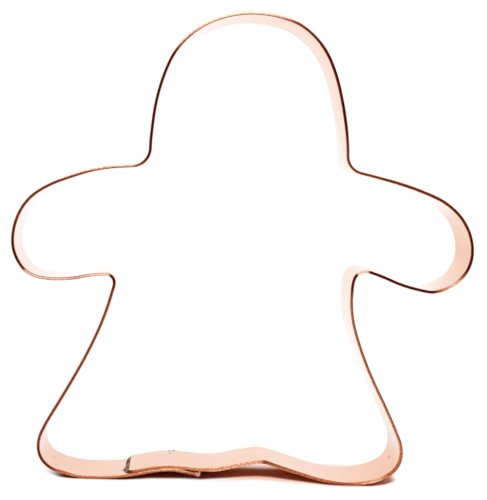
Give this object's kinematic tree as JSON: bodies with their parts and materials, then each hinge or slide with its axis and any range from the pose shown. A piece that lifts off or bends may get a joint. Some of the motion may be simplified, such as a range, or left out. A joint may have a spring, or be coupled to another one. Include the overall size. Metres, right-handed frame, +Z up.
{
  "type": "cookie cutter",
  "caption": "Open metal strip bent into the outline of a figure in a long skirt, its ends lapped and soldered at the hem, for pressing that shape out of rolled dough.",
  "frame": {"origin": "middle of the bottom of the bounding box, on the table under the hem of the skirt", "axes": "+X towards the figure's right-hand side as seen from the front, +Y from the front edge of the strip to its back edge, +Z up from the hem to the crown"},
  "size_m": [0.1062, 0.0222, 0.108],
  "materials": {
    "copper": "mill-rolled bright copper, lightly tarnished",
    "solder": "dull grey soft solder"
  },
  "bodies": {
    "root": {"strip": "copper", "solder_film": "solder", "solder_bead": "solder", "solder_drop_1": "solder", "solder_drop_2": "solder"}
  },
  "joints": []
}
